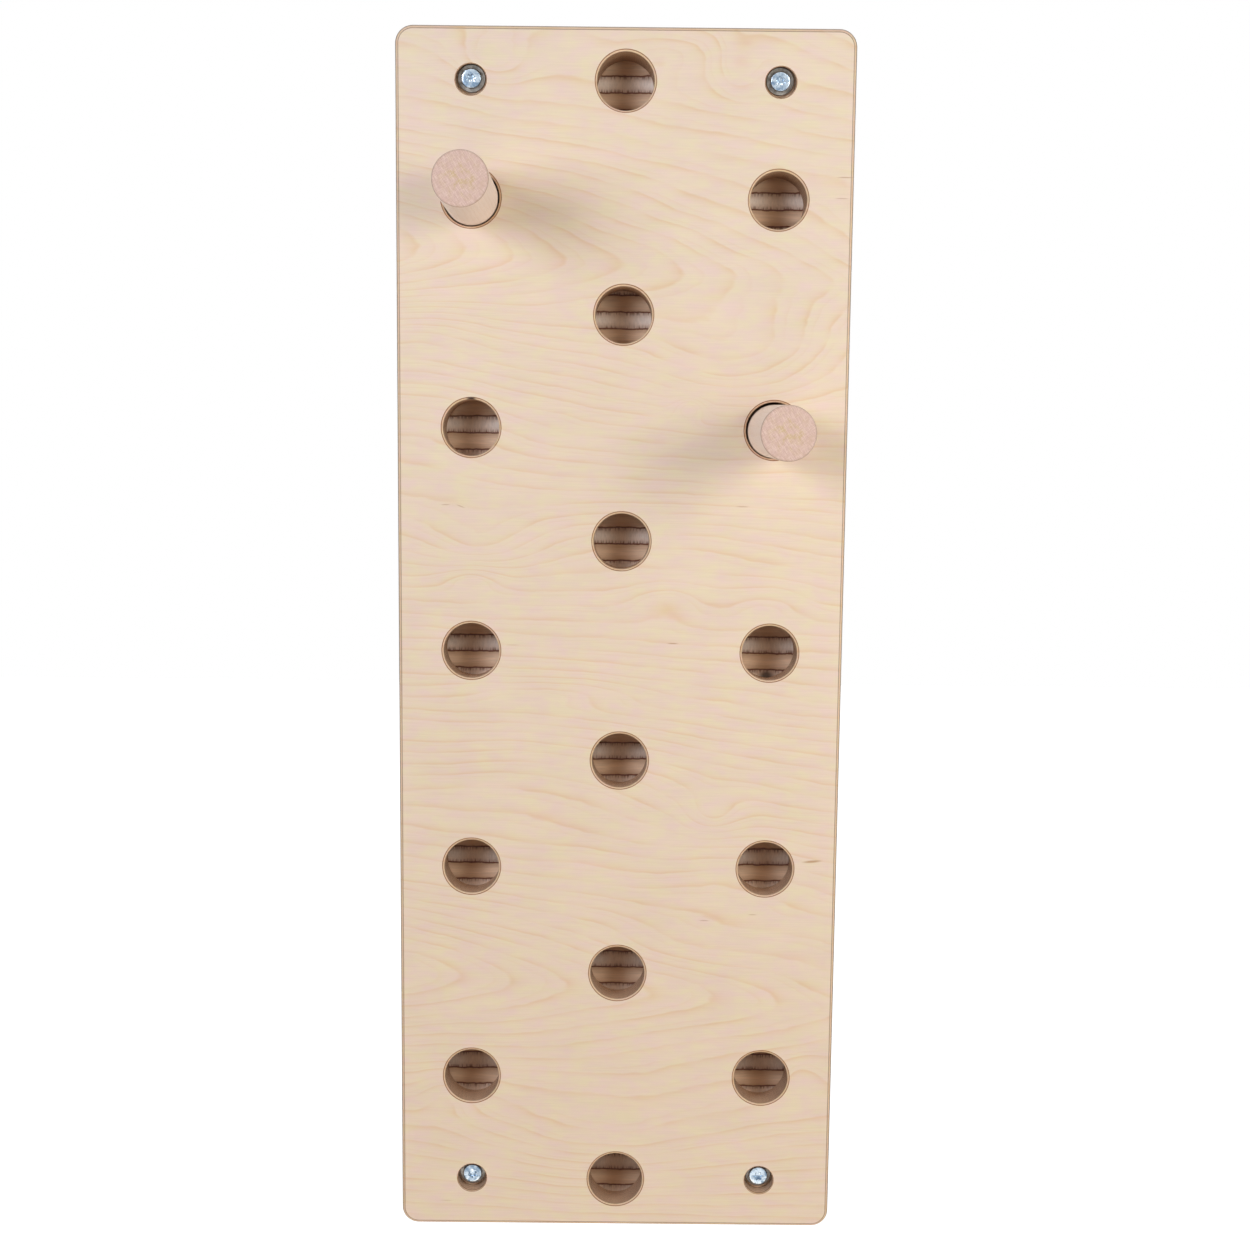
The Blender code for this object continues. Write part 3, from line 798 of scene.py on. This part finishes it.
def plies():
    """The stack of 1.5 mm veneers where the panel is cut: each one's fibres lie across the next one's. Thin
    brown glue lines part them, and glue has crept into the upright veneers in short teeth."""
    tree, place = new_pattern("birch_plies", {"Colour": "Color", "Height": "Float"})
    x, y, z = add(tree, SPLIT, {0: place}).outputs
    uneven = grain(tree, place, PLY_LUMP, 5.0)
    from_front = THICKNESS / MM - FACE_PLY - PLY_UNEVEN / 2
    lowered = add(tree, MATH, {0: uneven, 1: PLY_UNEVEN, 2: from_front}, operation="MULTIPLY_ADD")
    depth = add(tree, MATH, {0: y, 1: lowered}, operation="ADD")
    raised = spot(tree, place, *RAISED_PLIES)
    depth = add(tree, MATH, {0: raised, 1: RAISED_BY, 2: depth}, operation="MULTIPLY_ADD")
    layer = add(tree, MATH, {0: depth, 1: PLY}, operation="DIVIDE")
    number = add(tree, MATH, {0: layer}, operation="FLOOR")
    # The panel is two sheets glued together, so the order of the fibres changes once
    front_sheet = add(tree, MATH, {0: y, 1: SHEET_JOINT - THICKNESS / MM}, operation="LESS_THAN")
    counted = add(tree, MATH, {0: number, 1: front_sheet}, operation="ADD")
    upright = add(tree, MATH, {0: counted, 1: 2.0}, operation="FLOORED_MODULO")

    level_place = add(tree, JOIN, {0: x, 1: depth, 2: z})
    upright_place = add(tree, JOIN, {0: z, 1: depth, 2: x})
    along = add(tree, MIX, {0: upright, 4: level_place, 5: upright_place}, data_type="VECTOR")
    shift = add(tree, VECTOR_MATH, {0: (PLY_NUMBER_SHIFT, 0, 0), "Scale": number}, operation="SCALE")
    along = add(tree, VECTOR_MATH, {0: along, 1: shift}, operation="ADD")
    # Here too the fibres are drawn wider than they are, so that they show
    fibres = grain(tree, along, PLY_FIBRE, 3.0)
    clouds = grain(tree, along, PLY_CLOUD, 1.0)

    facing = add(tree, SPLIT, {0: add(tree, "ShaderNodeTexCoord").outputs["Normal"]}).outputs
    end_on = add(tree, MIX, {0: upright, 2: facing[0], 3: facing[2]})
    end_on = add(tree, MATH, {0: end_on}, operation="ABSOLUTE")
    end_share = add(tree, MAP_RANGE, {"Value": end_on, "From Min": 0.25, "From Max": 0.95})
    lengthwise = add(tree, MIX, {0: upright, 6: PLY_LEVEL, 7: PLY_UPRIGHT}, data_type="RGBA")
    wood = add(tree, MIX, {0: end_share, 6: lengthwise, 7: PLY_END}, data_type="RGBA")
    wood = shaded(tree, wood, (clouds, PLY_CLOUD_SHADE), (fibres, PLY_FIBRE_SHADE))

    from_line = add(tree, MATH, {0: layer, 1: 0.5}, operation="PINGPONG")
    from_line = add(tree, MATH, {0: from_line, 1: PLY}, operation="MULTIPLY")
    line = add(tree, MAP_RANGE, {
        "Value": from_line, "From Min": GLUE_LINE * GLUE_CORE, "From Max": GLUE_LINE, **FALLING})
    # The real teeth are about 0.4 mm apart, finer than the render's pixels, so they are drawn 1.1 mm wide
    comb = add(tree, MAP_RANGE, {
        "Value": grain(tree, place, GLUE_TOOTH, 1.0), "From Min": 0.44, "From Max": 0.6})
    reach = add(tree, MAP_RANGE, {
        "Value": from_line, "From Min": GLUE_LINE / 2, "From Max": GLUE_TEETH,
        "To Min": 0.85, "To Max": 0.0})
    teeth = add(tree, MATH, {0: comb, 1: reach}, operation="MULTIPLY")
    teeth = add(tree, MATH, {0: teeth, 1: upright}, operation="MULTIPLY")
    soaked = add(tree, MAP_RANGE, {"Value": from_line, "From Max": GLUE_SOAK, "To Min": 0.6, "To Max": 0.0})
    wood = add(tree, MIX, {0: soaked, 6: wood, 7: GLUE_HALO}, data_type="RGBA")
    glue = add(tree, MATH, {0: line, 1: teeth}, operation="MAXIMUM")
    colour = add(tree, MIX, {0: glue, 6: wood, 7: GLUE_BROWN}, data_type="RGBA")
    height = add(tree, MATH, {0: glue, 1: -0.5, 2: fibres}, operation="MULTIPLY_ADD")
    add(tree, "NodeGroupOutput", {"Colour": colour, "Height": height})
    return tree


def veneer_material(face):
    """Birch veneer, sanded and clear-lacquered: pale cream with faint orange rings under a satin skin."""
    mat, tree, shader = new_material("birch_veneer_lacquered", roughness=0.42)
    pattern = add(tree, GROUP, {"Place": millimetres(tree)}, node_tree=face).outputs
    bump = add(tree, BUMP, {"Height": pattern["Height"], "Distance": 0.02 * MM})
    feed(shader, {"Base Color": pattern["Colour"], "Normal": bump})
    feed(shader, {"Coat Weight": 0.12, "Coat Roughness": 0.35})
    return mat


def cut_wood(tree, face, stack, skin_depth, skin_tone, wood_tone, lines):
    """Plywood where it is cut, as its place, colour and relief. The outermost veneer goes on over the
    rounded edges with its own grain, and brown lines run along them."""
    place = millimetres(tree)
    skin = add(tree, GROUP, {"Place": place}, node_tree=face).outputs
    inside = add(tree, GROUP, {"Place": place}, node_tree=stack).outputs
    y = add(tree, SPLIT, {0: place}).outputs["Y"]
    from_front = add(tree, MATH, {0: y, 1: THICKNESS / MM}, operation="ADD")
    from_back = add(tree, MATH, {0: y, 1: -1.0}, operation="MULTIPLY")
    nearest = add(tree, MATH, {0: from_front, 1: from_back}, operation="MINIMUM")
    deep = add(tree, MAP_RANGE, {
        "Value": nearest, "From Min": skin_depth - SKIN_BLEND, "From Max": skin_depth})
    toned = []
    for wood, tone in ((skin, skin_tone), (inside, wood_tone)):
        toned.append(add(tree, MIX, {0: 1.0, 6: wood["Colour"], 7: tone},
                         data_type="RGBA", blend_type="MULTIPLY"))
    colour = add(tree, MIX, {0: deep, 6: toned[0], 7: toned[1]}, data_type="RGBA")
    for start, end, brown, strength in lines:
        away = add(tree, MATH, {0: nearest, 1: (start + end) / 2}, operation="SUBTRACT")
        away = add(tree, MATH, {0: away}, operation="ABSOLUTE")
        full, gone = ((end - start) * share for share in LINE_FALL)
        line = add(tree, MAP_RANGE, {
            "Value": away, "From Min": full, "From Max": gone, "To Min": strength, "To Max": 0.0})
        colour = add(tree, MIX, {0: line, 6: colour, 7: brown}, data_type="RGBA")
    return place, colour, inside["Height"]


def sawn_material(face, stack):
    """Sawn and sanded plywood edge, lacquered: fine light and dark stripes between thin brown glue lines."""
    mat, tree, shader = new_material("birch_plies_sawn", roughness=0.5)
    colour, height = cut_wood(tree, face, stack, FACE_PLY, SANDED_TONE, SAWN_TONE, EDGE_LINES)[1:]
    bump = add(tree, BUMP, {"Height": height, "Distance": 0.03 * MM})
    feed(shader, {"Base Color": colour, "Normal": bump})
    return mat


def bored_material(face, stack):
    """Plywood bored by a drill, left raw. Painted shade darkens a band down the floor's middle and the
    walls, and painted light keeps the lower walls, which face up, pale. Brown lines ring the mouth, and
    there are scorched or knotty spots where the bit met harder wood."""
    mat, tree, shader = new_material("birch_plies_bored", roughness=0.62)
    place, colour, height = cut_wood(
        tree, face, stack, MOUTH_ROUND / MM, MOUTH_TONE, FLOOR_TONE, MOUTH_LINES)
    normal = add(tree, SPLIT, {0: add(tree, "ShaderNodeTexCoord").outputs["Normal"]}).outputs
    facing = add(tree, MATH, {0: normal["Y"]}, operation="ABSOLUTE")
    wall = add(tree, MAP_RANGE, {"Value": facing, "From Min": 0.1, "From Max": 0.5, **FALLING})
    # Painted light and shade: walls that face up take the lighter tone, the others the darker one
    lit_from_above = add(tree, MAP_RANGE, {"Value": normal["Z"], "From Max": 0.9})
    wall_light_and_shade = add(tree, MIX, {0: lit_from_above, 6: SHADED_WALL_TONE, 7: LIT_LOWER_WALL_TONE}, data_type="RGBA")
    split = add(tree, SPLIT, {0: place}).outputs
    aside = add(tree, MATH, {0: split["X"], 1: COLUMN_PITCH / MM / 2}, operation="PINGPONG")
    # Painted shade: a darker band down the middle of each hole's floor, away from the front
    middle = add(tree, MAP_RANGE, {
        "Value": aside, "From Min": SHADED_FLOOR_BAND[0], "From Max": SHADED_FLOOR_BAND[1], **FALLING}, **SMOOTH)
    deep = add(tree, MATH, {0: split["Y"], 1: -SHADED_FLOOR_BAND_FROM * THICKNESS / MM}, operation="GREATER_THAN")
    middle = add(tree, MATH, {0: middle, 1: deep}, operation="MULTIPLY")
    floor_with_painted_shade = add(tree, MIX, {0: middle, 6: FLOOR_TONE, 7: SHADED_FLOOR_MIDDLE_TONE}, data_type="RGBA")
    tone = add(tree, MIX, {0: wall, 6: floor_with_painted_shade, 7: wall_light_and_shade}, data_type="RGBA")
    colour = add(tree, MIX, {0: 1.0, 6: colour, 7: tone}, data_type="RGBA", blend_type="MULTIPLY")
    for where, half_size, strength in SCORCHES:
        burnt = add(tree, MATH, {0: spot(tree, place, where, half_size), 1: strength}, operation="MULTIPLY")
        colour = add(tree, MIX, {0: burnt, 6: colour, 7: SCORCH_BROWN}, data_type="RGBA")
    bump = add(tree, BUMP, {"Height": height, "Distance": 0.05 * MM})
    feed(shader, {"Base Color": colour, "Normal": bump})
    return mat


def beech_material():
    """Beech dowel, turned and sanded, not lacquered: pale pinkish wood, nearly plain along its side but for
    short brown ray flecks, and greyer open end grain with sanding scratches."""
    mat, tree, shader = new_material("beech_turned", roughness=0.6)
    place = add(tree, "ShaderNodeAttribute", attribute_name="own_place").outputs["Vector"]
    z = add(tree, SPLIT, {0: place}).outputs["Z"]
    from_pith = add(tree, VECTOR_MATH, {0: place, 1: (*PITH, 0)}, operation="SUBTRACT")
    across = add(tree, VECTOR_MATH, {0: from_pith, 1: (1, 1, 0)}, operation="MULTIPLY")
    pith_distance = add(tree, VECTOR_MATH, {0: across}, operation="LENGTH")
    wander = grain(tree, place, BEECH_WANDER)
    counted = add(tree, MATH, {0: pith_distance, 1: 1 / BEECH_RING, 2: wander}, operation="MULTIPLY_ADD")
    phase = add(tree, MATH, {0: counted}, operation="FRACT")
    ring = add(tree, MATH, {0: phase, 1: 3.0}, operation="POWER")
    # Real fibres, pores and scratches are at most 0.1 mm wide, too fine for the render's pixels, so they
    # are drawn 0.5 to 0.7 mm wide
    fibres = grain(tree, place, BEECH_FIBRE, 3.0)
    ray_spots = grain(tree, place, BEECH_RAY_SPOT, 1.0)
    rays = add(tree, MAP_RANGE, {"Value": ray_spots, "From Min": 0.64, "From Max": 0.74, "To Max": 0.3})
    side_lines = add(tree, MATH, {0: ring, 1: 0.35}, operation="MULTIPLY")
    side_wood = add(tree, MIX, {0: side_lines, 6: BEECH_SIDE, 7: BEECH_LINE}, data_type="RGBA")
    side_wood = add(tree, MIX, {0: rays, 6: side_wood, 7: BEECH_RAY}, data_type="RGBA")

    off_axis = add(tree, VECTOR_MATH, {0: place, 1: (1, 1, 0)}, operation="MULTIPLY")
    centre_distance = add(tree, VECTOR_MATH, {0: off_axis}, operation="LENGTH")
    inner = add(tree, MAP_RANGE, {
        "Value": centre_distance, "From Min": 5.0, "From Max": 15.0, "To Min": 1.0, "To Max": 0.2})
    tans = grain(tree, place, BEECH_PATCH)
    patches = add(tree, MAP_RANGE, {"Value": tans, "From Min": 0.42, "From Max": 0.62})
    patches = add(tree, MATH, {0: patches, 1: inner}, operation="MULTIPLY")
    end_wood = add(tree, MIX, {0: patches, 6: BEECH_END, 7: BEECH_END_TAN}, data_type="RGBA")
    ring_mark = add(tree, MATH, {0: ring, 1: 0.25}, operation="MULTIPLY")
    pore_spots = grain(tree, place, BEECH_PORE, 1.0)
    marks = add(tree, MAP_RANGE, {"Value": pore_spots, "From Min": 0.5, "From Max": 0.72, "To Max": 0.3})
    marks = add(tree, MATH, {0: marks, 1: ring_mark}, operation="MAXIMUM")
    end_wood = add(tree, MIX, {0: marks, 6: end_wood, 7: BEECH_RAY}, data_type="RGBA")
    for turn, strength in SCRATCHES:
        own_way = add(tree, MAPPING, {"Vector": place, "Rotation": (0, 0, math.radians(turn))})
        scratch = add(tree, MAP_RANGE, {
            "Value": grain(tree, own_way, SCRATCH), "From Min": 0.5, "From Max": 0.64, "To Max": strength})
        end_wood = add(tree, MIX, {0: scratch, 6: end_wood, 7: BEECH_SCRATCH}, data_type="RGBA")
        marks = add(tree, MATH, {0: marks, 1: scratch}, operation="MAXIMUM")

    upper_left = add(tree, MATH, {0: PEG_LENGTH / MM, 1: z}, operation="SUBTRACT")
    from_end = add(tree, MATH, {0: z, 1: upper_left}, operation="MINIMUM")
    end = add(tree, MAP_RANGE, {"Value": from_end, "From Min": 0.1, "From Max": 0.9, **FALLING})
    # A thin darker brown line round the rounded rim of each end
    middle = add(tree, MATH, {0: from_end, 1: PEG_EDGE / MM / 2}, operation="SUBTRACT")
    middle = add(tree, MATH, {0: middle}, operation="ABSOLUTE")
    end_rim_brown = add(tree, MAP_RANGE, {
        "Value": middle, "From Max": PEG_EDGE / MM * 0.6, "To Min": 0.6, "To Max": 0.0})
    rim = PEG_RADIUS / MM - 1.2 * PEG_EDGE / MM
    outer = add(tree, MATH, {0: centre_distance, 1: rim}, operation="GREATER_THAN")
    end_rim_brown = add(tree, MATH, {0: end_rim_brown, 1: outer}, operation="MULTIPLY")
    wood = add(tree, MIX, {0: end, 6: side_wood, 7: end_wood}, data_type="RGBA")
    wood = add(tree, MIX, {0: end_rim_brown, 6: wood, 7: BEECH_EDGE}, data_type="RGBA")
    wood = shaded(tree, wood, (fibres, BEECH_FIBRE_SHADE))

    sunk = add(tree, MATH, {0: marks, 1: -2.0}, operation="MULTIPLY")
    height = add(tree, MIX, {0: end, 2: fibres, 3: sunk})
    bump = add(tree, BUMP, {"Height": height, "Distance": 0.03 * MM})
    feed(shader, {"Base Color": wood, "Normal": bump})
    return mat


def zinc_material(name, hex_colour, patch_and_reflection_colour, roughness):
    """Electroplated zinc on steel: blue-white and bright, with cloudy patches of a second tone. On the
    bright zinc the darker blue patches are painted reflection.
    """
    mat, tree, shader = new_material(name, roughness, metallic=1.0)
    place = millimetres(tree)
    clouds = grain(tree, place, ZINC_CLOUD, 1.0)
    # Painted reflection on the bright zinc: the clouds blend in its darker blue tone
    share = add(tree, MAP_RANGE, {"Value": clouds, "From Min": 0.36, "From Max": 0.66})
    colour = add(tree, MIX, {0: share, 6: hex_colour, 7: patch_and_reflection_colour}, data_type="RGBA")
    smoothest, dullest = (roughness + step for step in ZINC_SPREAD)
    dull = add(tree, MAP_RANGE, {
        "Value": clouds, "From Min": 0.3, "From Max": 0.7, "To Min": smoothest, "To Max": dullest})
    # Real pits are finer than the render's pixels, so they are drawn 0.8 mm wide
    pits = grain(tree, place, ZINC_PIT)
    bump = add(tree, BUMP, {"Height": pits, "Distance": 0.02 * MM})
    feed(shader, {"Base Color": colour, "Roughness": dull, "Normal": bump})
    return mat


# Camera, lamps, floor and background

def make_camera():
    """The photograph's camera."""
    camera_data = bpy.data.cameras.new("photo_camera")
    camera_data.sensor_width = SENSOR_MM
    camera_data.lens = FOCAL_PIXELS / PHOTO_SIZE * SENSOR_MM
    camera = new_object("photo_camera", camera_data)
    camera.location = CAMERA_PLACE
    camera.rotation_euler = CAMERA_TURN
    bpy.context.scene.camera = camera


def make_lamp(name, place, width, height, power, colour):
    """A softbox that faces the board's middle."""
    lamp_data = bpy.data.lights.new(name, "AREA")
    lamp_data.shape = "RECTANGLE"
    lamp_data.size = width
    lamp_data.size_y = height
    lamp_data.energy = power
    lamp_data.color = linear(colour)[:3]
    lamp = new_object(name, lamp_data)
    lamp.location = Vector(place)
    lamp.rotation_euler = (lamp.location - Vector((0, FRONT, 0))).to_track_quat("Z", "Y").to_euler()


def seen_rays(tree):
    """1 for what the camera sees straight or in a mirror, and the paths of that ray."""
    path = add(tree, "ShaderNodeLightPath").outputs
    return add(tree, MATH, {0: path["Is Camera Ray"], 1: path["Is Glossy Ray"]}, operation="MAXIMUM"), path


def make_stage():
    """A floor and a world that look pure white, but light the board no more than a studio does."""
    mesh = bpy.data.meshes.new("floor")
    ways = ((-1, -1), (1, -1), (1, 1), (-1, 1))
    mesh.from_pydata([(x * FLOOR_HALF, y * FLOOR_HALF, FLOOR_LEVEL) for x, y in ways], [], [(0, 1, 2, 3)])
    floor = new_object("studio_floor", mesh)
    mat, tree, shader = new_material("studio_floor_white", roughness=0.9)
    seen = seen_rays(tree)[0]
    feed(shader, {"Base Color": STUDIO_FLOOR_TONE, "Emission Color": "FFFFFF", "Emission Strength": seen})
    mesh.materials.append(mat)

    world = bpy.data.worlds.new("studio")
    bpy.context.scene.world = world
    world.use_nodes = True
    tree = world.node_tree
    tree.nodes.clear()
    seen, path = seen_rays(tree)
    clear = add(tree, MATH, {0: seen, 1: path["Is Transmission Ray"]}, operation="MAXIMUM")
    strength = add(tree, MAP_RANGE, {"Value": clear, "To Min": WORLD_FILL})
    background = add(tree, "ShaderNodeBackground", {"Color": "FFFFFF", "Strength": strength})
    add(tree, "ShaderNodeOutputWorld", {"Surface": background})


face = face_grain()
stack = plies()
veneer = veneer_material(face)
sawn = sawn_material(face, stack)
bored = bored_material(face, stack)
beech = beech_material()
bright_zinc = zinc_material("zinc_plated_steel", *BRIGHT_ZINC)
dull_zinc = zinc_material("zinc_stamped_steel", *DULL_ZINC)
make_board(veneer, sawn, bored)
for side in ("left", "right"):
    make_peg(side, beech)
thread = thread_tree()
for corner in SCREW_TURNS:
    make_screw(corner, thread, bright_zinc)
    make_washer(corner, dull_zinc)
make_camera()
for lamp in LAMPS:
    make_lamp(*lamp)
make_stage()
bpy.context.scene.view_settings.view_transform = "Standard"
